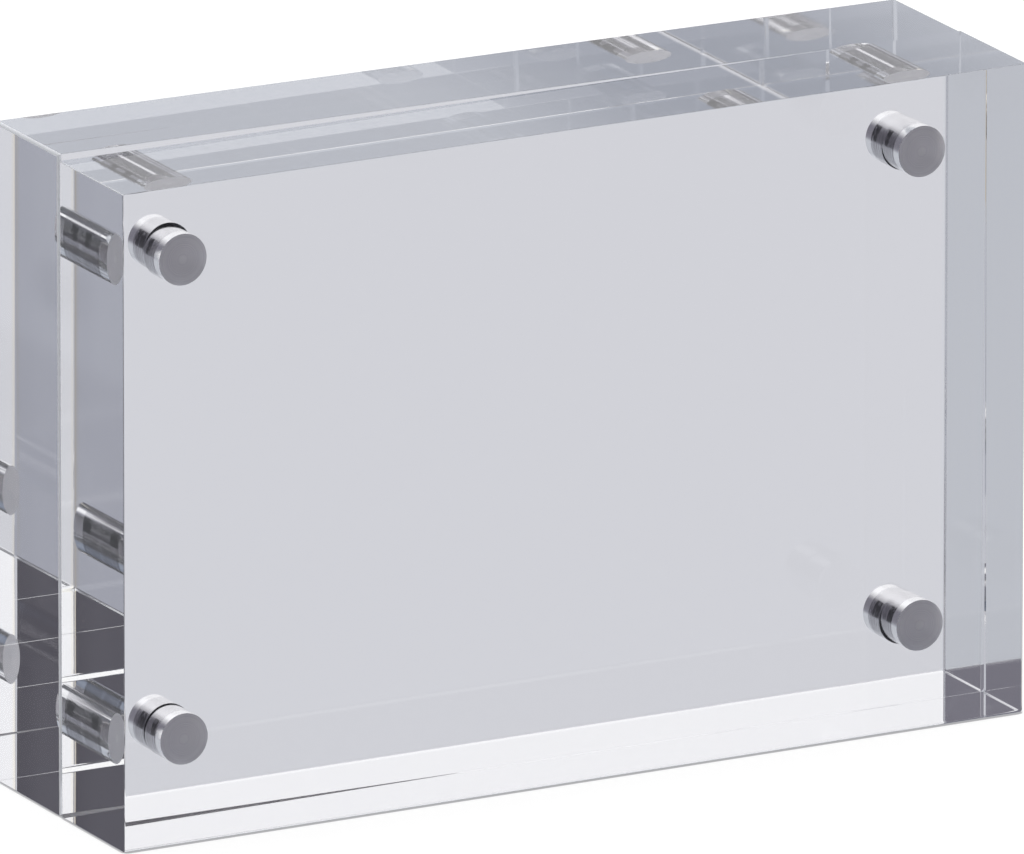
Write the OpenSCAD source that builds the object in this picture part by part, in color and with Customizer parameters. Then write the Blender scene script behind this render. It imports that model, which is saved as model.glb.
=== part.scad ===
// Acrylic block frame: two thick clear blocks that eight disc magnets hold face to face.
// The frame stands on its long edge. +Z is up and the picture faces -Y.
// The origin is the middle of the footprint, on the surface that the frame stands on.

/* [Blocks] */
// Width of each block, left to right
block_w = 150; // [110:1:220]
// Height of each block
block_h = 100; // [75:1:160]
// Thickness of the front block, front to back
front_block_t = 20.4; // [14:0.1:30]
// Thickness of the back block
back_block_t = 20.2; // [14:0.1:30]
// How far the back block's top stands above the front block's at the left end, as cut
back_left_rise = 0.95; // [0:0.05:1.5]
// How far it lies below the front block's at the right end
back_right_drop = 0.2; // [0:0.05:1]
// Air film between the two inner faces
face_gap = 0.06; // [0.02:0.01:0.3]

/* [Edges] */
// Radius of the widest round along an edge; each edge has a share of it
edge_r = 0.6; // [0.2:0.05:1]
// How far a scraper has cut into each face along the inner bottom edges, at the left end
foot_scrape_w = 0.35; // [0.1:0.05:0.8]
// How far from the left end that scrape fades out
foot_scrape_l = 65; // [20:1:140]
// How far it has cut into each face along the inner right edges, at the foot
side_scrape_w = 0.45; // [0.1:0.05:0.8]
// How far from the foot that scrape fades out
side_scrape_l = 95; // [20:1:100]

/* [Holes] */
// Diameter of each blind hole
hole_d = 7.8; // [5:0.1:10]
// Depth of each blind hole, from the inner face
hole_depth = 8.3; // [7:0.1:10]
// Distance from a hole's axis to the block's nearest side
hole_from_side = 13.6; // [9:0.1:20]
// Distance from a hole's axis to the block's top or bottom
hole_from_end = 13.5; // [9:0.1:20]
// Radius of the centre mark that the cutter leaves in a hole's floor
centre_mark_r = 0.45; // [0.2:0.05:0.8]
// Depth of the centre mark
centre_mark_depth = 0.12; // [0.05:0.01:0.3]
// How far a back hole may stand off the axis of the front hole that it meets
hole_wander = 0.4; // [0:0.05:0.5]

/* [Magnets] */
// Length of each magnet
magnet_l = 5.5; // [4:0.1:6.5]
// Radial clearance between a magnet and its hole
magnet_clearance = 0.08; // [0.03:0.01:0.2]
// Radius of the round along a magnet's edges
magnet_edge_r = 0.3; // [0.1:0.05:0.6]
// How far a magnet's end lies below the inner face
magnet_set_back = 0.05; // [0:0.01:0.3]

/* [Hidden] */
CORNERS = ["top_left", "top_right", "bottom_left", "bottom_right"];
FRONT_MAGNETS = [for (corner = CORNERS) str("front_", corner, "_magnet")];
BACK_MAGNETS = [for (corner = CORNERS) str("back_", corner, "_magnet")];
$fn = 96;

// Each edge's round as a share of edge_r. Uprights: outer left and right, inner left and right
front_upright_shares = [0.25, 0.8, 0.8, 0.25];
back_upright_shares = [0.8, 0.8, 0.8, 0.25];
// Edges that run left to right: outer bottom and top, inner bottom and top
front_long_shares = [1, 0.2, 0.05, 0.3];
back_long_shares = [0.05, 0.15, 0.05, 0.15];
// Edges that run front to back: bottom left and right, top left and right
front_short_shares = [0.15, 0.6, 0.2, 0.15];
back_short_shares = [0.15, 0.6, 0.8, 0.15];

// Side that each corner's hole is on, as shares of the half distances between the holes
corner_side_shares = [[-1, 1], [1, 1], [-1, -1], [1, -1]];
// How each back hole stands off its front hole, as shares of hole_wander
corner_wander_shares = [[0.32, 0.95], [-0.12, -0.42], [-0.22, 0.42], [-0.38, -0.62]];

last_corner = len(CORNERS) - 1;
// The middle of the air film, set so that the origin is the middle of the footprint
seam_y = (front_block_t - back_block_t) / 2;
overrun = 0.5;
magnet_r = hole_d / 2 - magnet_clearance;
hole_half_x = block_w / 2 - hole_from_side;
hole_half_z = block_h / 2 - hole_from_end;

// Where the front holes' axes are across the block, as [x, z]
front_holes = [
    for (side = corner_side_shares)
        [side[0] * hole_half_x, block_h / 2 + side[1] * hole_half_z]
];

// Where the back holes' axes are
back_holes = [
    for (corner = [0 : last_corner])
        front_holes[corner] + hole_wander * corner_wander_shares[corner]
];

// What a round of radius r takes off a corner at the origin, between +Y and a side that leans
// from +X by lean
module corner_cut(r, lean = 0) {
    centre = [r, r * (tan(lean) + 1 / cos(lean))];
    difference() {
        polygon([
            [-overrun, -overrun], [-overrun, centre[1]], centre,
            centre + (r + overrun) * [sin(lean), -cos(lean)]
        ]);
        translate(centre) circle(r = r);
    }
}

// A block's outline with a corner at the origin. The shares are those of its bottom left, bottom
// right, top left and top right corner.
module outline(width, left_h, right_h, corner_shares) {
    lean = atan((left_h - right_h) / width);
    radii = edge_r * corner_shares;
    difference() {
        polygon([[0, 0], [width, 0], [width, right_h], [0, left_h]]);
        corner_cut(radii[0]);
        translate([width, 0]) mirror([1, 0]) corner_cut(radii[1]);
        translate([0, left_h]) mirror([0, 1]) corner_cut(radii[2], lean);
        translate([width, right_h]) mirror([1, 0]) mirror([0, 1]) corner_cut(radii[3], -lean);
    }
}

// A block with no holes, its outer face at y = 0 and its inner face at y = t
module plain_block(t, left_h, right_h, upright_shares, long_shares, short_shares) {
    tall = left_h == right_h ? left_h : left_h + overrun;
    difference() {
        intersection() {
            // Rounds the four upright edges
            translate([block_w / 2, 0, 0]) rotate([0, 0, 90]) linear_extrude(height = tall)
                outline(t, block_w, block_w, [
                    upright_shares[1], upright_shares[3], upright_shares[0], upright_shares[2]
                ]);
            // Rounds the edges that run left to right
            translate([-block_w / 2, 0, 0]) rotate([90, 0, 90]) linear_extrude(height = block_w)
                outline(t, tall, tall, [
                    long_shares[0], long_shares[2], long_shares[1], long_shares[3]
                ]);
            // Rounds the four short edges and cuts the top to its slope
            translate([-block_w / 2, t, 0]) rotate([90, 0, 0]) linear_extrude(height = t)
                outline(block_w, left_h, right_h, short_shares);
        }
        translate([-block_w / 2, t, 0]) edge_scrape(foot_scrape_w, foot_scrape_l);
        translate([block_w / 2, t, 0]) rotate([0, -90, 0]) edge_scrape(side_scrape_w, side_scrape_l);
    }
}

// The wedge that a scraper takes off an edge that runs along +X, between a face at y = 0 and one
// at z = 0. It cuts width into each face at the origin and fades out at fade.
module edge_scrape(width, fade) {
    depth = width / sqrt(2);
    translate([fade, 0, 0]) rotate([45, 0, 0]) rotate([0, atan(depth / fade), 0])
        translate([-2 * fade, -width, -width])
            cube([2 * fade, 2 * width, width]);
}

// A flat-floored hole from its mouth at the origin to hole_depth along -Y, with its centre mark
module blind_hole() {
    rotate([90, 0, 0]) {
        translate([0, 0, -overrun]) cylinder(h = hole_depth + overrun, d = hole_d);
        translate([0, 0, hole_depth]) cylinder(h = centre_mark_depth, r1 = centre_mark_r, r2 = 0);
    }
}

// Sets a front piece, made with the seam at y = 0, in front of the air film
module in_front() {
    translate([0, seam_y - face_gap / 2, 0]) children();
}

// Sets a back piece, made like a front one, behind the air film
module behind() {
    translate([0, seam_y + face_gap / 2, 0]) mirror([0, 1, 0]) children();
}

// A disc magnet in its hole, in front of an inner face at y = 0
module seated_magnet(place) {
    translate([place[0], -magnet_set_back, place[1]]) rotate([90, 0, 0]) rotate_extrude()
        difference() {
            square([magnet_r, magnet_l]);
            translate([magnet_r, 0]) mirror([1, 0]) corner_cut(magnet_edge_r);
            translate([magnet_r, magnet_l]) mirror([1, 0]) mirror([0, 1]) corner_cut(magnet_edge_r);
        }
}

module front_block() {
    color("lightsteelblue", 0.4) in_front() difference() {
        translate([0, -front_block_t, 0]) plain_block(
            front_block_t, block_h, block_h, front_upright_shares, front_long_shares, front_short_shares
        );
        for (place = front_holes) translate([place[0], 0, place[1]]) blind_hole();
    }
}

module back_block() {
    color("lightsteelblue", 0.4) behind() difference() {
        translate([0, -back_block_t, 0]) plain_block(
            back_block_t, block_h + back_left_rise, block_h - back_right_drop,
            back_upright_shares, back_long_shares, back_short_shares
        );
        for (place = back_holes) translate([place[0], 0, place[1]]) blind_hole();
    }
}

module front_magnet(corner) {
    color("silver") in_front() seated_magnet(front_holes[corner]);
}

module back_magnet(corner) {
    color("silver") behind() seated_magnet(back_holes[corner]);
}

front_block();
back_block();
for (corner = [0 : last_corner]) front_magnet(corner);
for (corner = [0 : last_corner]) back_magnet(corner);
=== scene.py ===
"""Acrylic block frame: two clear blocks that eight nickelled disc magnets hold face to face."""
import math

import bmesh
import bpy
from bpy.props import FloatProperty, FloatVectorProperty, IntProperty, PointerProperty
from mathutils import Matrix, Vector


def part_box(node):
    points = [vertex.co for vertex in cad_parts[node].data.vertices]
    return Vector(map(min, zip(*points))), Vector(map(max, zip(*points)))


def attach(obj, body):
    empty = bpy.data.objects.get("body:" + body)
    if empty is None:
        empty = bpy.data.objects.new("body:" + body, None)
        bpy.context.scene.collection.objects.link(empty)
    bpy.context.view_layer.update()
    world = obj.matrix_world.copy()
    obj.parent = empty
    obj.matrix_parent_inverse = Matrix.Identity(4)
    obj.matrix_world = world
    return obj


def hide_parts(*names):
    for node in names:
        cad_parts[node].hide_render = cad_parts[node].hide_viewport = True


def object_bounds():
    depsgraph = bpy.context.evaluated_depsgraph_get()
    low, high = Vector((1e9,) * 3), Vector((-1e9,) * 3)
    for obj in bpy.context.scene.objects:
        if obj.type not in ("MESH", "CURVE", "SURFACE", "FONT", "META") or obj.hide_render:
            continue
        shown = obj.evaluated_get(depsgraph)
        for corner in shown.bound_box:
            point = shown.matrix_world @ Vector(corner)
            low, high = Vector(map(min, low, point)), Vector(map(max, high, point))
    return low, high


bl_info = {
    "name": "Acrylic Block Frame",
    "version": (1, 0, 0),
    "blender": (4, 5, 0),
    "location": "View3D > Sidebar > Block Frame",
    "description": (
        "Dresses the packed parts of a magnetic acrylic block frame and sets up its stage"
    ),
    "category": "Object",
}

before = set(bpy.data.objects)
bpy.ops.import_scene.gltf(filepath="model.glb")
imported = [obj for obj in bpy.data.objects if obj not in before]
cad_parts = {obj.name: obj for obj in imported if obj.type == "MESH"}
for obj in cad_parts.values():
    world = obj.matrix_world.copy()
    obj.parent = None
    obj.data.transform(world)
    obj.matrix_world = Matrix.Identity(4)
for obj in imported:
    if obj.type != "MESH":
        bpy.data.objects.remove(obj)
CAD_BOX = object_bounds()

MM = 0.001
# Two places nearer than this are the same place
SAME_PLACE = 0.01 * MM
# Shorter than any edge of a block
EDGE_SPAN = 1 * MM
# How much of a face's normal lies along an axis that it looks along, by how well it does
SLIGHTLY, MOSTLY, STRAIGHT = 0.1, 0.5, 0.99
# How much of a scraped flat's normal lies along Y, and how far that may be off
SLANT, SLANT_ERROR = math.sqrt(0.5), 0.02
# Rounds are shaded smooth up to this angle between facets
SMOOTH_ANGLE = math.radians(35)
HALVES = ("front", "back")
BLOCK_SLOTS = ("polished", "end", "scraped", "worn", "bored")
# The glue slot is a near-black ring of painted shade round each magnet's inner end
MAGNET_SLOTS = ("side", "face", "glue")
CORNERS = ("top_left", "top_right", "bottom_left", "bottom_right")
BODY_OF_HALF = {"front": "front_half", "back": "back_half"}
# Each edge's round as a share of the widest one, by half, direction and place
EDGE_SHARES = {
    ("front", "upright"): {
        "outer_left": 0.25, "outer_right": 0.8, "inner_left": 0.8, "inner_right": 0.25
    },
    ("back", "upright"): {
        "outer_left": 0.8, "outer_right": 0.8, "inner_left": 0.8, "inner_right": 0.25
    },
    ("front", "long"): {
        "outer_bottom": 1.0, "outer_top": 0.2, "inner_bottom": 0.05, "inner_top": 0.3
    },
    ("back", "long"): {
        "outer_bottom": 0.05, "outer_top": 0.15, "inner_bottom": 0.05, "inner_top": 0.15
    },
    ("front", "short"): {
        "bottom_left": 0.15, "bottom_right": 0.6, "top_left": 0.2, "top_right": 0.15
    },
    ("back", "short"): {
        "bottom_left": 0.15, "bottom_right": 0.6, "top_left": 0.8, "top_right": 0.15
    },
}
# Where a dark reflection is painted on each magnet's bonded wall, in millimetres from its block's
# inner face
DARK_REFLECTION_SPANS = {
    ("front", "top_left"): (1.2, 3.2),
    ("front", "top_right"): (0.8, 2.9),
    ("front", "bottom_left"): (2.6, 5.0),
    ("front", "bottom_right"): (3.0, 5.6),
    ("back", "top_left"): (0.3, 5.0),
    ("back", "top_right"): (2.7, 5.6),
    ("back", "bottom_left"): (0.3, 3.6),
    ("back", "bottom_right"): (0.5, 3.8),
}
# How softly such a dark patch ends along the hole, and round it as a share of its spread
DARK_REFLECTION_END_BLUR = 0.25 * MM
DARK_REFLECTION_SIDE_BLUR = 0.25
# Widths of the rings on a hole's floor, of the ridges round its wall and of the blotches that break
# up the painted dark reflection
RING_W = 0.15 * MM
RIDGE_W = 0.4 * MM
BLOTCH_W = 0.8 * MM
RING_HEIGHT = 0.02 * MM
# Between which levels of their noise each of these goes from one tone to the other
RING_LEVELS = (0.3, 0.7)
RIDGE_LEVELS = (0.28, 0.56)
BLOTCH_LEVELS = (0.36, 0.47)
# Where the fringe's bright line and its pale band fade out, as shares of its width
FRINGE_LINE = (0.3, 0.6)
FRINGE_BAND = (1.0, 1.6)
# Shade painted on the floor under a block, as the acrylic sees it, by millimetres to the right of
# the frame's middle; the last, paler tone is painted light under the right end
FOOTPRINT_TONES = (
    (20, (0.40, 0.43, 0.495, 1)),
    (64, (0.16, 0.19, 0.26, 1)),
    (74.0, (0.15, 0.18, 0.25, 1)),
    (74.7, (0.54, 0.55, 0.60, 1)),
)
# How near the floor has to be to a block to lie in its shade
CONTACT_REACH = 1.0 * MM
# How open the sky is over a floor that a block shades, and over its darker line of contact
SHADED_OPENNESS = 0.7
CONTACT_OPENNESS = (0.5, 0.8)
STUDIO_TONE = (0.45, 0.46, 0.5, 1)
# Cards and flags on the studio's walls, each over the ones before it: turn from straight back
# and rise, half angle and soft rim, all in degrees, and colour
STUDIO_CARDS = (
    ((0, -90), 60, 25, (0.5, 0.515, 0.56, 1)),
    ((180, -20), 60, 30, (0.337, 0.347, 0.405, 1)),
    ((-28, -16), 18, 12, (0.535, 0.554, 0.60, 1)),
    ((28, -16), 18, 12, (0.671, 0.686, 0.733, 1)),
    ((180, 50), 45, 20, (1.0, 1.0, 1.03, 1)),
    ((152, 17), 16, 8, (0.028, 0.022, 0.036, 1)),
    ((-152, 17), 16, 8, (0.028, 0.022, 0.036, 1)),
    ((61, -13), 15, 6, (0.05, 0.05, 0.06, 1)),
    ((-40, 20), 26, 12, (0.19, 0.184, 0.22, 1)),
    ((35, 3), 16, 10, (0.7, 0.7, 0.74, 1)),
    ((28, 38), 24, 28, (1.0, 1.0, 1.03, 1)),
    ((0, 90), 30, 15, (1.1, 1.1, 1.1, 1)),
)
PHOTO_WIDTH_PX = 1024
SENSOR_WIDTH_MM = 36.0


# Settings


class AcrylicSettings(bpy.types.PropertyGroup):
    """Sizes and finish of the two clear blocks."""

    edge_r: FloatProperty(
        name="Edge Radius",
        description="Radius of the widest round along an edge; each edge has a share of it",
        default=0.6 * MM,
        unit="LENGTH",
    )
    foot_scrape_w: FloatProperty(
        name="Foot Scrape Width",
        description=(
            "How far a scraper has cut into each face along the inner bottom edges, "
            "at the left end"
        ),
        default=0.35 * MM,
        unit="LENGTH",
    )
    foot_scrape_l: FloatProperty(
        name="Foot Scrape Length",
        description="How far from the left end that scrape fades out",
        default=65 * MM,
        unit="LENGTH",
    )
    side_scrape_w: FloatProperty(
        name="Side Scrape Width",
        description="How far it has cut into each face along the inner right edges, at the foot",
        default=0.45 * MM,
        unit="LENGTH",
    )
    side_scrape_l: FloatProperty(
        name="Side Scrape Length",
        description="How far from the foot that scrape fades out",
        default=95 * MM,
        unit="LENGTH",
    )
    top_fall: FloatProperty(
        name="Top Fall",
        description="How far the back block's top falls from its left end to its right end",
        default=1.15 * MM,
        unit="LENGTH",
    )
    edge_segments: IntProperty(
        name="Edge Segments",
        description="Facets across a round",
        default=6,
        min=2,
    )
    hole_depth: FloatProperty(
        name="Hole Depth",
        description="Depth of each blind hole from the inner face",
        default=8.3 * MM,
        unit="LENGTH",
    )
    bond_depth: FloatProperty(
        name="Bond Depth",
        description="How far from the inner face the glue film wets a hole's wall",
        default=5.6 * MM,
        unit="LENGTH",
    )
    hole_clearance: FloatProperty(
        name="Hole Clearance",
        description="Radial space between a magnet and its hole",
        default=0.08 * MM,
        unit="LENGTH",
    )
    centre_mark_r: FloatProperty(
        name="Centre Mark Radius",
        description="Radius of the mark that the cutter leaves in a hole's floor",
        default=0.45 * MM,
        unit="LENGTH",
    )
    centre_mark_depth: FloatProperty(
        name="Centre Mark Depth",
        description="Depth of that mark",
        default=0.12 * MM,
        unit="LENGTH",
    )
    hole_vertices: IntProperty(
        name="Hole Vertices",
        description="Vertices round a hole and round a magnet",
        default=128,
        min=24,
    )
    # The dark patch on each bonded wall is a painted dark reflection: where it lies, how far it
    # spreads and how dark it stays elsewhere
    dark_reflection_turn: FloatProperty(
        name="Dark Reflection Turn",
        description="How far above the left of a hole's wall the dark patch of the film lies",
        default=math.radians(24),
        subtype="ANGLE",
    )
    dark_reflection_spread: FloatProperty(
        name="Dark Reflection Spread",
        description="Half the angle that the dark patch covers",
        default=math.radians(14),
        subtype="ANGLE",
    )
    dark_reflection_haze: FloatProperty(
        name="Dark Reflection Haze",
        description="How dark that patch is along the rest of the magnet, as a share",
        default=0.4,
    )
    ior: FloatProperty(
        name="Refractive Index",
        description="Refractive index of cast acrylic",
        default=1.495,
    )
    end_roughness: FloatProperty(
        name="End Roughness",
        description="Roughness of the right ends, which are polished less well",
        default=0.07,
    )
    fringe_w: FloatProperty(
        name="Fringe Width",
        description="Width of the warm band along one upright edge of each right end",
        default=0.9 * MM,
        unit="LENGTH",
    )
    tint: FloatVectorProperty(
        name="Acrylic Tint",
        description="Colour of the light that the polished faces let through",
        subtype="COLOR",
        size=4,
        default=(1.0, 1.0, 1.0, 1.0),
    )


class MagnetSettings(bpy.types.PropertyGroup):
    """Shape and finish of the eight disc magnets."""

    edge_r: FloatProperty(
        name="Edge Radius",
        description="Round along a magnet's two rims",
        default=0.3 * MM,
        unit="LENGTH",
    )
    edge_segments: IntProperty(
        name="Edge Segments",
        description="Facets across that round",
        default=5,
        min=2,
    )
    # Width of the near-black ring of painted shade round each magnet's inner end
    rim_shade_w: FloatProperty(
        name="Rim Shade Width",
        description=(
            "Width of the dark glue line round a magnet's inner end, inside its rim's round"
        ),
        default=0.4 * MM,
        unit="LENGTH",
    )
    nickel: FloatVectorProperty(
        name="Nickel",
        description="Colour of the plating",
        subtype="COLOR",
        size=4,
        default=(0.62, 0.60, 0.61, 1.0),
    )


class StageSettings(bpy.types.PropertyGroup):
    """Camera and floor round the frame."""

    turn: FloatProperty(
        name="Turn",
        description="How far the camera stands to the left of straight ahead",
        default=math.radians(28.079),
        subtype="ANGLE",
    )
    tilt: FloatProperty(
        name="Tilt",
        description="How far the camera looks down",
        default=math.radians(16.451),
        subtype="ANGLE",
    )
    roll: FloatProperty(
        name="Roll",
        description="Turn of the camera about its own axis",
        default=math.radians(0.047),
        subtype="ANGLE",
    )
    distance: FloatProperty(
        name="Distance",
        description="From the camera to the middle of the frame",
        default=4.41842,
        unit="LENGTH",
    )
    focal_px: FloatProperty(
        name="Focal Length in Pixels",
        description="Focal length as a count of the photograph's pixels",
        default=30000.0,
    )
    aim_right: FloatProperty(
        name="Aim Right",
        description="How far the view's centre lies to the left of the frame's middle",
        default=0.066 * MM,
        unit="LENGTH",
    )
    aim_up: FloatProperty(
        name="Aim Up",
        description="How far the view's centre lies below the frame's middle",
        default=0.776 * MM,
        unit="LENGTH",
    )
    aim: FloatVectorProperty(
        name="Aim",
        description="Middle of the seam, which the camera's place is measured from",
        subtype="TRANSLATION",
        unit="LENGTH",
        default=(0.0, 0.1 * MM, 50 * MM),
    )
    floor_size: FloatProperty(
        name="Floor Size",
        description="Side of the square floor",
        default=6.0,
        unit="LENGTH",
    )
    floor_gap: FloatProperty(
        name="Floor Gap",
        description="Air between the floor and the polished bottom faces",
        default=0.1 * MM,
        unit="LENGTH",
    )


# Small tools for modelling with operators


def clear_selection():
    """Leaves object mode with nothing selected."""
    if bpy.context.mode != "OBJECT":
        bpy.ops.object.mode_set(mode="OBJECT")
    bpy.ops.object.select_all(action="DESELECT")


def select_alone(obj):
    """Makes obj the active object and the only one selected, in object mode."""
    clear_selection()
    obj.select_set(True)
    bpy.context.view_layer.objects.active = obj


def settle(obj):
    """Puts the object's place into its mesh, so that the object sits at the origin."""
    select_alone(obj)
    bpy.ops.object.transform_apply(location=True, rotation=True, scale=True)


def edit_with(obj, kind, test):
    """Opens obj in edit mode with only the edges or faces selected that pass the test."""
    select_alone(obj)
    bpy.ops.object.mode_set(mode="EDIT")
    bpy.ops.mesh.select_mode(type="EDGE" if kind == "edges" else "FACE")
    bpy.ops.mesh.select_all(action="DESELECT")
    mesh = bmesh.from_edit_mesh(obj.data)
    chosen = [part for part in getattr(mesh, kind) if test(part)]
    if not chosen:
        raise RuntimeError(f"{obj.name}: no {kind} match")
    for part in chosen:
        part.select_set(True)
    mesh.select_flush_mode()
    bmesh.update_edit_mesh(obj.data)


def leave_edit():
    """Goes back to object mode."""
    bpy.ops.object.mode_set(mode="OBJECT")


def smooth_finish(obj):
    """Smooth rounds beside flat faces that stay flat."""
    select_alone(obj)
    bpy.ops.object.shade_smooth_by_angle(angle=SMOOTH_ANGLE)
    modifier = obj.modifiers.new("Flat Faces", "WEIGHTED_NORMAL")
    modifier.keep_sharp = True
    modifier.weight = 100
    bpy.ops.object.modifier_apply(modifier=modifier.name)


def set_material(obj, *materials):
    """Puts these materials in obj's slots. All its faces go back to the first one."""
    obj.data.materials.clear()
    for material in materials:
        obj.data.materials.append(material)


# Node helpers


def new_material(name):
    """A material with an empty node tree."""
    material = bpy.data.materials.new(name)
    material.use_nodes = True
    material.node_tree.nodes.clear()
    return material


def feed(tree, socket, value):
    """Links value to the socket if it is an output, or else sets it as the socket's own value."""
    if isinstance(value, bpy.types.NodeSocket):
        tree.links.new(value, socket)
    else:
        socket.default_value = value


def math_node(tree, operation, *values, clamp=False):
    """A Math node fed by sockets or plain numbers. Returns its output."""
    node = tree.nodes.new("ShaderNodeMath")
    node.operation = operation
    node.use_clamp = clamp
    for socket, value in zip(node.inputs, values):
        feed(tree, socket, value)
    return node.outputs[0]


def dot_node(tree, place, direction):
    """The dot product of a vector socket and a fixed direction."""
    dot = tree.nodes.new("ShaderNodeVectorMath")
    dot.operation = "DOT_PRODUCT"
    tree.links.new(place, dot.inputs[0])
    dot.inputs[1].default_value = direction
    return dot.outputs["Value"]


def ramp_node(tree, value, start, end, low=0.0, high=1.0):
    """A smooth step from low at start to high at end."""
    ramp = tree.nodes.new("ShaderNodeMapRange")
    ramp.interpolation_type = "SMOOTHSTEP"
    for socket, number in zip(ramp.inputs[1:5], (start, end, low, high)):
        socket.default_value = number
    tree.links.new(value, ramp.inputs["Value"])
    return ramp.outputs["Result"]


def mix_colours(tree, factor, first, second):
    """A Mix node between two colours, each a socket or plain numbers. Returns its output."""
    mix = tree.nodes.new("ShaderNodeMix")
    mix.data_type = "RGBA"
    tree.links.new(factor, mix.inputs["Factor"])
    feed(tree, mix.inputs["A"], first)
    feed(tree, mix.inputs["B"], second)
    return mix.outputs["Result"]


def shader_node(tree, kind, colour):
    """A shader node of this kind, its colour a socket or plain numbers."""
    shader = tree.nodes.new(f"ShaderNode{kind}")
    feed(tree, shader.inputs["Color"], colour)
    return shader


def mix_shaders(tree, factor, first, second):
    """A Mix Shader node between two shader nodes."""
    mix = tree.nodes.new("ShaderNodeMixShader")
    for socket, source in zip(mix.inputs, (factor, first.outputs[0], second.outputs[0])):
        tree.links.new(source, socket)
    return mix


def line_noise(tree, along, width, detail):
    """Noise that changes along one number only, with features of about this width."""
    noise = tree.nodes.new("ShaderNodeTexNoise")
    noise.noise_dimensions = "1D"
    noise.inputs["Scale"].default_value = 1 / width
    noise.inputs["Detail"].default_value = detail
    tree.links.new(along, noise.inputs["W"])
    return noise.outputs[0]


def part_of(tree, place, axis):
    """One axis of a vector socket."""
    split = tree.nodes.new("ShaderNodeSeparateXYZ")
    tree.links.new(place, split.inputs[0])
    return split.outputs[axis]


def object_place(tree):
    """The object coordinates."""
    return tree.nodes.new("ShaderNodeTexCoord").outputs["Object"]


def around_axis(tree, half, corner):
    """The place as seen from a magnet's middle."""
    from_axis = tree.nodes.new("ShaderNodeMapping")
    from_axis.inputs["Location"].default_value = -magnet_axis(half, corner)[0]
    tree.links.new(object_place(tree), from_axis.inputs["Vector"])
    return from_axis.outputs[0]


def new_group(name, vector, *numbers):
    """A node group from a vector to numbers. Returns it, its vector and its output node."""
    group = bpy.data.node_groups.new(name, "ShaderNodeTree")
    group.interface.new_socket(vector, in_out="INPUT", socket_type="NodeSocketVector")
    for number in numbers:
        group.interface.new_socket(number, in_out="OUTPUT", socket_type="NodeSocketFloat")
    enter = group.nodes.new("NodeGroupInput")
    return group, enter.outputs[vector], group.nodes.new("NodeGroupOutput")


def group_node(tree, group, place):
    """A node group fed with a place. Returns its outputs."""
    node = tree.nodes.new("ShaderNodeGroup")
    node.node_tree = group
    tree.links.new(place, node.inputs[0])
    return node.outputs


# Materials


def surface_material(name, **plain):
    """A material with one Principled BSDF, and plain values on the sockets that are named."""
    material = new_material(name)
    tree = material.node_tree
    output = tree.nodes.new("ShaderNodeOutputMaterial")
    surface = tree.nodes.new("ShaderNodeBsdfPrincipled")
    for socket, value in plain.items():
        surface.inputs[socket.replace("_", " ")].default_value = value
    tree.links.new(surface.outputs[0], output.inputs["Surface"])
    return material, tree, surface


def acrylic_material(settings):
    """Clear cast acrylic, polished."""
    return surface_material(
        "clear_acrylic",
        Base_Color=settings.tint,
        Roughness=0.0,
        IOR=settings.ior,
        Transmission_Weight=1.0,
    )[0]


def end_material(settings):
    """The right ends: a less perfect polish, and a warm band along one upright edge of each."""
    material, tree, surface = surface_material(
        "right_end_acrylic",
        Roughness=settings.end_roughness,
        IOR=settings.ior,
        Transmission_Weight=1.0,
    )
    depth = part_of(tree, object_place(tree), "Y")
    front_edge, seam = (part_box(f"{half}_block")[0].y for half in HALVES)
    from_edge = math_node(
        tree,
        "MINIMUM",
        math_node(tree, "ABSOLUTE", math_node(tree, "SUBTRACT", depth, front_edge)),
        math_node(tree, "ABSOLUTE", math_node(tree, "SUBTRACT", depth, seam)),
    )
    width = settings.fringe_w
    line, band = (
        ramp_node(tree, from_edge, start * width, end * width, 1.0, 0.0)
        for start, end in (FRINGE_LINE, FRINGE_BAND)
    )
    warm = mix_colours(tree, line, (1.0, 0.95, 0.82, 1), (1.0, 0.82, 0.52, 1))
    tree.links.new(mix_colours(tree, band, settings.tint, warm), surface.inputs["Base Color"])
    return material


def bored_material(settings):
    """A drilled hole's wall where no glue wets it."""
    return surface_material(
        "bored_wall",
        Base_Color=settings.tint,
        Roughness=0.08,
        IOR=settings.ior,
        Transmission_Weight=1.0,
    )[0]


def worn_material(settings):
    """A round that has lost its polish."""
    return surface_material(
        "worn_edge",
        Base_Color=(0.80, 0.82, 0.86, 1.0),
        Roughness=0.35,
        IOR=settings.ior,
        Transmission_Weight=0.4,
    )[0]


def scraped_material(settings):
    """The scraped edges at the seam's foot: matt, with shade painted into their dark grey, as they
    face the floor.
    """
    return surface_material(
        "scraped_edge",
        Base_Color=(0.42, 0.40, 0.43, 1.0),
        Roughness=0.5,
        IOR=settings.ior,
        Transmission_Weight=0.25,
    )[0]


def rings_group():
    """Shared group: the fine rings that a turning tool leaves round an axis along Y."""
    group, from_axis, leave = new_group("turned_rings", "From Axis", "Height", "Radius")
    across, up = (
        math_node(group, "POWER", part_of(group, from_axis, axis), 2.0) for axis in "XZ"
    )
    radius = math_node(group, "SQRT", math_node(group, "ADD", across, up))
    rings = line_noise(group, radius, RING_W, 2.0)
    group.links.new(rings, leave.inputs["Height"])
    group.links.new(radius, leave.inputs["Radius"])
    return group


def patches_group():
    """Shared group: 1 over most of a wall, falling to 0 in blotches that break up the painted dark
    reflection.
    """
    group, place, leave = new_group("film_patches", "Place", "Patches")
    blotches = group.nodes.new("ShaderNodeTexNoise")
    blotches.inputs["Scale"].default_value = 1 / BLOTCH_W
    blotches.inputs["Detail"].default_value = 4.0
    blotches.inputs["Roughness"].default_value = 0.6
    group.links.new(place, blotches.inputs["Vector"])
    level = group.nodes.new("ShaderNodeMapRange")
    level.inputs["From Min"].default_value, level.inputs["From Max"].default_value = BLOTCH_LEVELS
    group.links.new(blotches.outputs[0], level.inputs["Value"])
    group.links.new(level.outputs["Result"], leave.inputs["Patches"])
    return group


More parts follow.
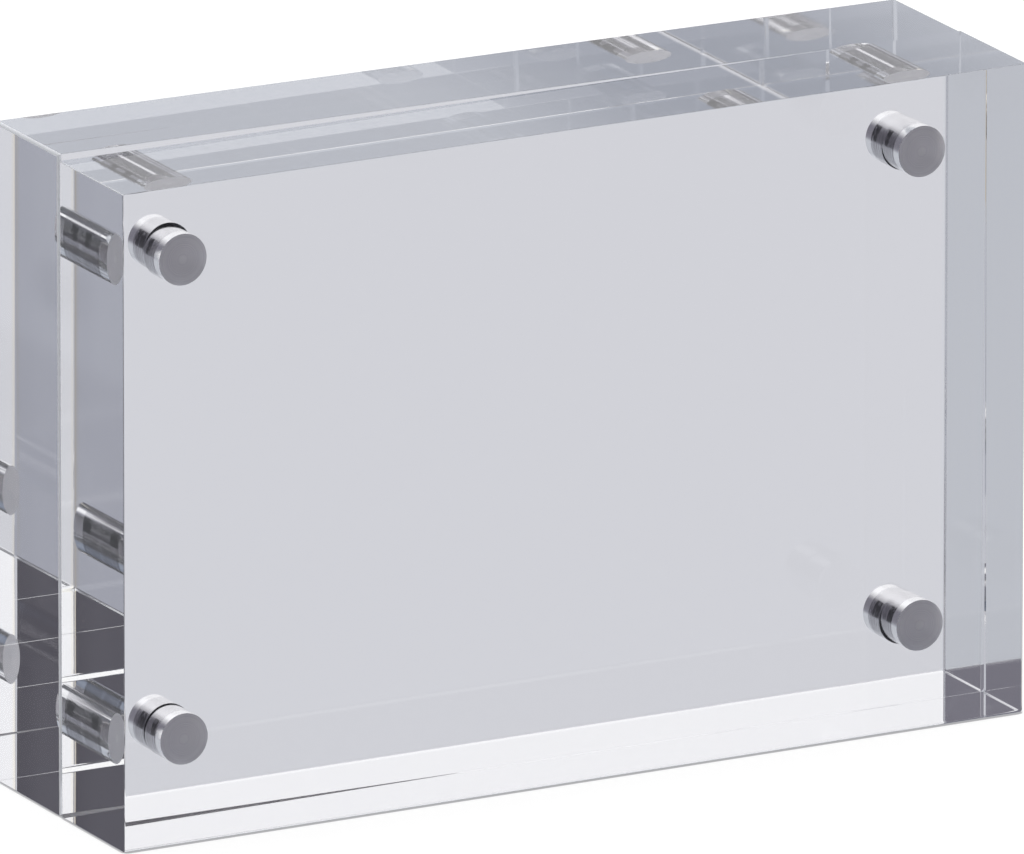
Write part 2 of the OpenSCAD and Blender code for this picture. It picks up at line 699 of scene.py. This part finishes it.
def bonded_material(settings, half, corner, patches):
    """The magnet's side as it shows through the glue film and the hole's wall.

    A dark reflection is painted in a patch on the left of the wall, a little above its middle.
    """
    material, tree, surface = surface_material(
        f"{half}_{corner}_bonded_wall", Metallic=1.0, Roughness=0.14
    )
    place = around_axis(tree, half, corner)
    radius = magnet_axis(half, corner)[1]
    depth = part_of(tree, object_place(tree), "Y")
    height = part_of(tree, place, "Z")
    ridges = ramp_node(tree, line_noise(tree, depth, RIDGE_W, 3.0), *RIDGE_LEVELS)
    below_top = ramp_node(tree, height, 0.1 * radius, 0.7 * radius, 1.0, 0.2)
    streaks = math_node(tree, "MULTIPLY", ridges, below_top)
    metal = mix_colours(tree, streaks, (0.86, 0.855, 0.87, 1), (0.36, 0.35, 0.37, 1))
    # Painted dark reflection: a near-black patch on the left of the wall, broken up by blotches
    turn, spread = settings.dark_reflection_turn, settings.dark_reflection_spread
    towards = dot_node(tree, place, (-math.cos(turn) / radius, 0, math.sin(turn) / radius))
    beside = ramp_node(
        tree,
        towards,
        math.cos((1 + DARK_REFLECTION_SIDE_BLUR) * spread),
        math.cos((1 - DARK_REFLECTION_SIDE_BLUR) * spread),
    )
    inner_y, into = inner_face(half)
    start, end = (inner_y + into * inwards * MM for inwards in DARK_REFLECTION_SPANS[half, corner])
    blur = DARK_REFLECTION_END_BLUR * into
    along = math_node(
        tree,
        "MULTIPLY",
        ramp_node(tree, depth, start - blur, start + blur),
        ramp_node(tree, depth, end - blur, end + blur, 1.0, 0.0),
    )
    along = math_node(tree, "MAXIMUM", along, settings.dark_reflection_haze)
    patch = math_node(tree, "MULTIPLY", beside, along)
    spots = group_node(tree, patches, place)["Patches"]
    dark = math_node(tree, "MULTIPLY", patch, spots, clamp=True)
    colour = mix_colours(tree, dark, metal, (0.012, 0.009, 0.012, 1))
    tree.links.new(colour, surface.inputs["Base Color"])
    return material


def drilled_material(settings, half, corner, rings):
    """Acrylic as the cutter leaves it in a hole's floor: satin and pale, with turned rings and a
    painted light spot on the centre mark.
    """
    material, tree, surface = surface_material(
        f"{half}_{corner}_hole_floor",
        Roughness=0.45,
        IOR=settings.ior,
        Transmission_Weight=0.3,
    )
    turned = group_node(tree, rings, around_axis(tree, half, corner))
    rubbed = ramp_node(tree, turned["Height"], *RING_LEVELS)
    # The centre mark gets a painted light spot, paler than the rings round it
    mark_r = settings.centre_mark_r
    painted_centre_light = ramp_node(tree, turned["Radius"], mark_r, 2 * mark_r, 1.0, 0.0)
    pale = math_node(tree, "MAXIMUM", rubbed, painted_centre_light)
    colour = mix_colours(tree, pale, (0.84, 0.81, 0.86, 1), (1.0, 0.98, 1.0, 1))
    tree.links.new(colour, surface.inputs["Base Color"])
    bump = tree.nodes.new("ShaderNodeBump")
    bump.inputs["Distance"].default_value = RING_HEIGHT
    bump.inputs["Strength"].default_value = 0.5
    tree.links.new(turned["Height"], bump.inputs["Height"])
    tree.links.new(bump.outputs[0], surface.inputs["Normal"])
    return material


def nickel_material(settings, name, roughness):
    """Bright nickel plate."""
    return surface_material(
        name, Base_Color=settings.nickel, Metallic=1.0, Roughness=roughness
    )[0]


def rim_shade_material():
    """A near-black ring of painted shade round a magnet's inner end, for the deep shade at the
    seam.
    """
    return surface_material(
        "dark_glue", Base_Color=(0.006, 0.005, 0.006, 1), Roughness=0.5, Specular_IOR_Level=0.0
    )[0]


# Pieces


def magnet_axis(half, corner):
    """Centre of a magnet and its radius, from its CAD node."""
    low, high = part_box(f"{half}_{corner}_magnet")
    return (low + high) / 2, (high.x - low.x) / 2


def inner_face(half):
    """Where a block's inner face lies along Y, and the sign of the way from it into the block."""
    low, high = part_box(f"{half}_block")
    return (high.y, -1) if half == "front" else (low.y, 1)


def hole_cutter(settings, half, corner):
    """The shape that the drill takes out of a block: a flat-ended cylinder with a centre mark."""
    inner_y, into = inner_face(half)
    centre, magnet_r = magnet_axis(half, corner)
    radius = magnet_r + settings.hole_clearance
    overrun = 1 * MM
    clear_selection()
    bpy.ops.mesh.primitive_cylinder_add(
        vertices=settings.hole_vertices,
        radius=radius,
        depth=settings.bond_depth + overrun,
        location=(centre.x, inner_y + into * (settings.bond_depth - overrun) / 2, centre.z),
        rotation=(math.pi / 2, 0, 0),
    )
    cutter = bpy.context.object
    settle(cutter)
    bond_y = inner_y + into * settings.bond_depth
    edit_with(
        cutter, "faces", lambda face: abs(face.calc_center_median().y - bond_y) < SAME_PLACE
    )
    beyond = into * (settings.hole_depth - settings.bond_depth)
    bpy.ops.mesh.extrude_region_move(TRANSFORM_OT_translate={"value": (0, beyond, 0)})
    bpy.ops.mesh.inset(thickness=radius - settings.centre_mark_r)
    bpy.ops.mesh.poke(offset=settings.centre_mark_depth)
    leave_edit()
    return cutter


def edge_share(half, edge, inner_y):
    """Share of the widest round that one of the block's twelve edges has."""
    first, second = (vertex.co for vertex in edge.verts)
    along = second - first
    depth = "inner" if abs(first.y - inner_y) < SAME_PLACE else "outer"
    side = "left" if first.x < 0 else "right"
    level = "bottom" if first.z < EDGE_SPAN else "top"
    if abs(along.x) > EDGE_SPAN:
        return EDGE_SHARES[half, "long"][f"{depth}_{level}"]
    if abs(along.y) > EDGE_SPAN:
        return EDGE_SHARES[half, "short"][f"{level}_{side}"]
    return EDGE_SHARES[half, "upright"][f"{depth}_{side}"]


def edge_scraper(edge_end, turned, width, length, into):
    """The wedge that a scraper takes off an edge.

    It cuts width into each face at edge_end and fades out at length. Turned lays it along the edge.
    """
    clear_selection()
    bpy.ops.mesh.primitive_cube_add(size=1)
    scraper = bpy.context.object
    scraper.matrix_world = (
        Matrix.Translation(edge_end)
        @ turned
        @ Matrix.Translation((length, 0, 0))
        @ Matrix.Rotation(math.radians(-45) * into, 4, "X")
        @ Matrix.Rotation(math.atan(width / math.sqrt(2) / length), 4, "Y")
        @ Matrix.Translation((-length, 0, -width / 2))
        @ Matrix.Diagonal((2 * length, 2 * width, width, 1))
    )
    settle(scraper)
    return scraper


def cut_with(block, cutter):
    """Takes the cutter's shape out of the block and throws the cutter away."""
    select_alone(block)
    cut = block.modifiers.new("Cut", "BOOLEAN")
    cut.operation = "DIFFERENCE"
    cut.solver = "EXACT"
    cut.object = cutter
    bpy.ops.object.modifier_apply(modifier=cut.name)
    bpy.data.objects.remove(cutter)


def drilled_block(settings, half):
    """One polished block with its four blind holes."""
    low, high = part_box(f"{half}_block")
    inner_y, into = inner_face(half)
    clear_selection()
    bpy.ops.mesh.primitive_cube_add(size=1, location=(low + high) / 2, scale=high - low)
    block = bpy.context.object
    block.name = block.data.name = f"{half}_acrylic_block"
    settle(block)
    if half == "back":
        edit_with(
            block,
            "edges",
            lambda edge: all(end.co.x > 0 and end.co.z > EDGE_SPAN for end in edge.verts),
        )
        bpy.ops.transform.translate(value=(0, 0, -settings.top_fall))
        leave_edit()
    shares = {
        share
        for (owner, _), group in EDGE_SHARES.items()
        if owner == half
        for share in group.values()
    }
    for share in sorted(shares):
        edit_with(block, "edges", lambda edge: edge_share(half, edge, inner_y) == share)
        bpy.ops.transform.edge_bevelweight(value=share)
        leave_edit()
    rounds = block.modifiers.new("Rounds", "BEVEL")
    rounds.limit_method = "WEIGHT"
    rounds.width = settings.edge_r
    rounds.segments = settings.edge_segments
    bpy.ops.object.modifier_apply(modifier=rounds.name)
    foot_left, foot_right = (Vector((x, inner_y, low.z)) for x in (low.x, high.x))
    upwards = Matrix.Rotation(math.radians(-90), 4, "Y")
    for edge_end, turned, width, length in (
        (foot_left, Matrix.Identity(4), settings.foot_scrape_w, settings.foot_scrape_l),
        (foot_right, upwards, settings.side_scrape_w, settings.side_scrape_l),
    ):
        cut_with(block, edge_scraper(edge_end, turned, width, length, into))
    for corner in CORNERS:
        cut_with(block, hole_cutter(settings, half, corner))
    smooth_finish(block)
    return block


def name_faces(settings, half, block):
    """Gives the block's faces their slots, in the order of BLOCK_SLOTS and then by corner."""
    inner_y, into = inner_face(half)
    axes = [magnet_axis(half, corner) for corner in CORNERS]
    for face in block.data.polygons:
        normal = face.normal
        face.material_index = BLOCK_SLOTS.index("polished")
        scraped = abs(normal.y + into * SLANT) < SLANT_ERROR
        if scraped and normal.z < -MOSTLY:
            face.material_index = BLOCK_SLOTS.index("scraped")
        elif normal.x > MOSTLY and not scraped:
            face.material_index = BLOCK_SLOTS.index("end")
        elif normal.x < -SLIGHTLY and max(normal.z, -into * normal.y) > SLIGHTLY:
            face.material_index = BLOCK_SLOTS.index("worn")
        depth = abs(face.center.y - inner_y)
        for place, (centre, magnet_r) in enumerate(axes):
            across = math.hypot(face.center.x - centre.x, face.center.z - centre.z)
            if across > magnet_r + 2 * settings.hole_clearance or depth < SAME_PLACE:
                continue
            if depth > settings.hole_depth - SAME_PLACE and abs(normal.y) > MOSTLY:
                face.material_index = len(BLOCK_SLOTS) + len(CORNERS) + place
            elif depth < settings.bond_depth:
                face.material_index = len(BLOCK_SLOTS) + place
            else:
                face.material_index = BLOCK_SLOTS.index("bored")


def disc_magnet(settings, vertices, half, corner):
    """One disc magnet with rounded rims."""
    low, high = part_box(f"{half}_{corner}_magnet")
    centre, radius = magnet_axis(half, corner)
    clear_selection()
    bpy.ops.mesh.primitive_cylinder_add(
        vertices=vertices,
        radius=radius,
        depth=high.y - low.y,
        location=centre,
        rotation=(math.pi / 2, 0, 0),
    )
    magnet = bpy.context.object
    magnet.name = magnet.data.name = f"{half}_{corner}_nickel_magnet"
    settle(magnet)
    edit_with(
        magnet,
        "edges",
        lambda edge: abs(edge.verts[0].co.y - edge.verts[1].co.y) < SAME_PLACE,
    )
    bpy.ops.mesh.bevel(offset=settings.edge_r, segments=settings.edge_segments, affect="EDGES")
    leave_edit()
    edit_with(magnet, "faces", lambda face: abs(face.normal.y) > STRAIGHT)
    bpy.ops.mesh.inset(thickness=settings.rim_shade_w, use_individual=True)
    leave_edit()
    smooth_finish(magnet)
    return magnet


def name_magnet_faces(half, corner, magnet):
    """Gives the magnet's faces their slots. A ring of painted shade goes round the end that lies at
    the seam.
    """
    centre, radius = magnet_axis(half, corner)
    into = inner_face(half)[1]
    for face in magnet.data.polygons:
        across = math.hypot(face.center.x - centre.x, face.center.z - centre.z)
        if -into * face.normal.y < SLIGHTLY:
            face.material_index = MAGNET_SLOTS.index("side")
        elif across < radius / 2:
            face.material_index = MAGNET_SLOTS.index("face")
        else:
            face.material_index = MAGNET_SLOTS.index("glue")


# Stage


def camera_axes(stage):
    """Right, up and forward of the photograph's camera."""
    forward = Vector((
        math.sin(stage.turn) * math.cos(stage.tilt),
        math.cos(stage.turn) * math.cos(stage.tilt),
        -math.sin(stage.tilt),
    ))
    right = forward.cross(Vector((0, 0, 1))).normalized()
    up = right.cross(forward)
    cos, sin = math.cos(stage.roll), math.sin(stage.roll)
    return cos * right + sin * up, cos * up - sin * right, forward


def add_camera(stage):
    """The photograph's camera: far away, so nearly without perspective."""
    right, up, forward = camera_axes(stage)
    aside = stage.aim_right * right + stage.aim_up * up
    place = Vector(stage.aim) - aside - stage.distance * forward
    data = bpy.data.cameras.new("photo_camera")
    camera = bpy.data.objects.new("photo_camera", data)
    bpy.context.scene.collection.objects.link(camera)
    data.sensor_width = SENSOR_WIDTH_MM
    data.lens = stage.focal_px * SENSOR_WIDTH_MM / PHOTO_WIDTH_PX
    data.clip_start = 0.1
    data.clip_end = 100.0
    turned = Matrix((right, up, -forward)).transposed().to_4x4()
    camera.matrix_world = Matrix.Translation(place) @ turned
    bpy.context.scene.camera = camera


def ray_kinds(tree):
    """Whether a ray comes from the camera, and whether from the acrylic or a mirror, as 1 or 0."""
    ray = tree.nodes.new("ShaderNodeLightPath").outputs
    in_acrylic = math_node(tree, "MAXIMUM", ray["Is Glossy Ray"], ray["Is Transmission Ray"])
    return ray["Is Camera Ray"], in_acrylic


def floor_material():
    """A pale floor that is white to the camera but for the frame's soft shadow.

    The acrylic sees through it to the studio's tones, except where a block shades it, at any pose.
    """
    material = new_material("pale_floor")
    tree = material.node_tree
    output = tree.nodes.new("ShaderNodeOutputMaterial")
    from_camera, in_acrylic = ray_kinds(tree)
    near_block = tree.nodes.new("ShaderNodeAmbientOcclusion")
    near_block.samples = 16
    near_block.inputs["Distance"].default_value = CONTACT_REACH
    openness = near_block.outputs["AO"]
    contact = ramp_node(tree, openness, *CONTACT_OPENNESS, 1.0, 0.0)
    shade = shader_node(
        tree, "BsdfDiffuse", mix_colours(tree, contact, (0.2, 0.2, 0.2, 1), (0, 0, 0, 1))
    )
    white = shader_node(
        tree, "Emission", mix_colours(tree, contact, (1, 1, 1, 1), (0.5, 0.5, 0.52, 1))
    )
    white.inputs["Strength"].default_value = 0.85
    to_camera = tree.nodes.new("ShaderNodeAddShader")
    tree.links.new(shade.outputs[0], to_camera.inputs[0])
    tree.links.new(white.outputs[0], to_camera.inputs[1])
    across = part_of(tree, object_place(tree), "X")
    # Painted shade under the blocks, with painted light under the right end
    tone = FOOTPRINT_TONES[0][1]
    for (start, _), (end, colour) in zip(FOOTPRINT_TONES, FOOTPRINT_TONES[1:]):
        tone = mix_colours(tree, ramp_node(tree, across, start * MM, end * MM), tone, colour)
    below = mix_shaders(
        tree,
        math_node(tree, "LESS_THAN", openness, SHADED_OPENNESS),
        shader_node(tree, "BsdfTransparent", (1, 1, 1, 1)),
        shader_node(tree, "Emission", tone),
    )
    paper = shader_node(tree, "BsdfDiffuse", (0.7, 0.7, 0.7, 1))
    outside = mix_shaders(tree, from_camera, paper, to_camera)
    surface = mix_shaders(tree, in_acrylic, outside, below)
    tree.links.new(surface.outputs[0], output.inputs["Surface"])
    return material


def card_mask(tree, direction, towards, half_angle, softness):
    """1 inside a round patch of the studio's walls, 0 outside, with a soft rim."""
    turn, rise = (math.radians(angle) for angle in towards)
    middle = (
        math.sin(turn) * math.cos(rise), math.cos(turn) * math.cos(rise), math.sin(rise)
    )
    rim, inside = (math.cos(math.radians(half_angle + beyond)) for beyond in (softness, 0))
    return ramp_node(tree, dot_node(tree, direction, middle), rim, inside)


def studio_world():
    """White to the camera, an even pale light, and a studio of cards and flags in the acrylic."""
    world = bpy.data.worlds.new("studio")
    world.use_nodes = True
    tree = world.node_tree
    tree.nodes.clear()
    output = tree.nodes.new("ShaderNodeOutputWorld")
    from_camera, in_acrylic = ray_kinds(tree)
    direction = tree.nodes.new("ShaderNodeTexCoord").outputs["Generated"]
    walls = STUDIO_TONE
    for towards, half_angle, softness, colour in STUDIO_CARDS:
        mask = card_mask(tree, direction, towards, half_angle, softness)
        walls = mix_colours(tree, mask, walls, colour)
    level = shader_node(tree, "Background", (0.75, 0.75, 0.75, 1))
    white = shader_node(tree, "Background", (1, 1, 1, 1))
    outside = mix_shaders(tree, from_camera, level, white)
    surface = mix_shaders(tree, in_acrylic, outside, shader_node(tree, "Background", walls))
    tree.links.new(surface.outputs[0], output.inputs["Surface"])
    bpy.context.scene.world = world


def add_floor(stage):
    """The pale floor, a hair below the polished bottom faces."""
    clear_selection()
    bpy.ops.mesh.primitive_plane_add(
        size=stage.floor_size, location=(0, 0, CAD_BOX[0].z - stage.floor_gap)
    )
    floor = bpy.context.object
    floor.name = "floor"
    settle(floor)
    set_material(floor, floor_material())


def add_softbox():
    """A large soft lamp overhead."""
    data = bpy.data.lights.new("overhead_softbox", "AREA")
    data.shape = "RECTANGLE"
    data.size = 0.9
    data.size_y = 0.7
    data.energy = 6.0
    lamp = bpy.data.objects.new("overhead_softbox", data)
    lamp.location = (0.1, 0.15, 0.9)
    bpy.context.scene.collection.objects.link(lamp)
    lamp.visible_glossy = False
    lamp.visible_transmission = False


# Operators


class BLOCKFRAME_OT_add_blocks(bpy.types.Operator):
    """Model the two polished acrylic blocks with their blind holes"""

    bl_idname = "block_frame.add_blocks"
    bl_label = "Add Acrylic Blocks"

    def execute(self, context):
        settings = context.scene.block_frame_acrylic
        shared = {
            "polished": acrylic_material(settings),
            "end": end_material(settings),
            "bored": bored_material(settings),
            "scraped": scraped_material(settings),
            "worn": worn_material(settings),
        }
        patches, rings = patches_group(), rings_group()
        for half in HALVES:
            block = drilled_block(settings, half)
            walls = [bonded_material(settings, half, corner, patches) for corner in CORNERS]
            floors = [drilled_material(settings, half, corner, rings) for corner in CORNERS]
            set_material(block, *(shared[slot] for slot in BLOCK_SLOTS), *walls, *floors)
            name_faces(settings, half, block)
            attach(block, BODY_OF_HALF[half])
            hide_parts(f"{half}_block")
        return {"FINISHED"}


class BLOCKFRAME_OT_add_magnets(bpy.types.Operator):
    """Model the eight nickelled disc magnets in their holes"""

    bl_idname = "block_frame.add_magnets"
    bl_label = "Add Disc Magnets"

    def execute(self, context):
        settings = context.scene.block_frame_magnets
        vertices = context.scene.block_frame_acrylic.hole_vertices
        side = nickel_material(settings, "nickel_side", 0.08)
        face = nickel_material(settings, "nickel_face", 0.25)
        # The glue slot gets the ring of painted shade
        glue = rim_shade_material()
        for half in HALVES:
            for corner in CORNERS:
                magnet = disc_magnet(settings, vertices, half, corner)
                set_material(magnet, side, face, glue)
                name_magnet_faces(half, corner, magnet)
                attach(magnet, BODY_OF_HALF[half])
                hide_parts(f"{half}_{corner}_magnet")
        return {"FINISHED"}


class BLOCKFRAME_OT_add_stage(bpy.types.Operator):
    """Set up the camera, the pale floor and the soft studio light"""

    bl_idname = "block_frame.add_stage"
    bl_label = "Add Stage"

    def execute(self, context):
        stage = context.scene.block_frame_stage
        add_camera(stage)
        add_floor(stage)
        add_softbox()
        studio_world()
        scene = context.scene
        scene.view_settings.view_transform = "Standard"
        # Light crosses the blocks many times before it leaves them
        scene.cycles.max_bounces = 48
        scene.cycles.transmission_bounces = 48
        scene.cycles.glossy_bounces = 32
        scene.cycles.diffuse_bounces = 4
        return {"FINISHED"}


class BLOCKFRAME_PT_tools(bpy.types.Panel):
    """Lists the operators in the 3D view's sidebar."""

    bl_idname = "BLOCKFRAME_PT_tools"
    bl_label = "Block Frame"
    bl_space_type = "VIEW_3D"
    bl_region_type = "UI"
    bl_category = "Block Frame"

    def draw(self, context):
        column = self.layout.column()
        for operator in OPERATORS:
            column.operator(operator.bl_idname)


OPERATORS = (BLOCKFRAME_OT_add_blocks, BLOCKFRAME_OT_add_magnets, BLOCKFRAME_OT_add_stage)
SETTINGS = {
    "block_frame_acrylic": AcrylicSettings,
    "block_frame_magnets": MagnetSettings,
    "block_frame_stage": StageSettings,
}
CLASSES = (*SETTINGS.values(), *OPERATORS, BLOCKFRAME_PT_tools)


def register():
    """Registers the classes and hangs the settings on the scene."""
    for cls in CLASSES:
        bpy.utils.register_class(cls)
    for name, group in SETTINGS.items():
        setattr(bpy.types.Scene, name, PointerProperty(type=group))


def unregister():
    """Undoes register."""
    for name in SETTINGS:
        delattr(bpy.types.Scene, name)
    for cls in reversed(CLASSES):
        bpy.utils.unregister_class(cls)


def main():
    """Builds every piece and the stage."""
    register()
    bpy.ops.block_frame.add_blocks()
    bpy.ops.block_frame.add_magnets()
    bpy.ops.block_frame.add_stage()


if __name__ == "__main__":
    main()
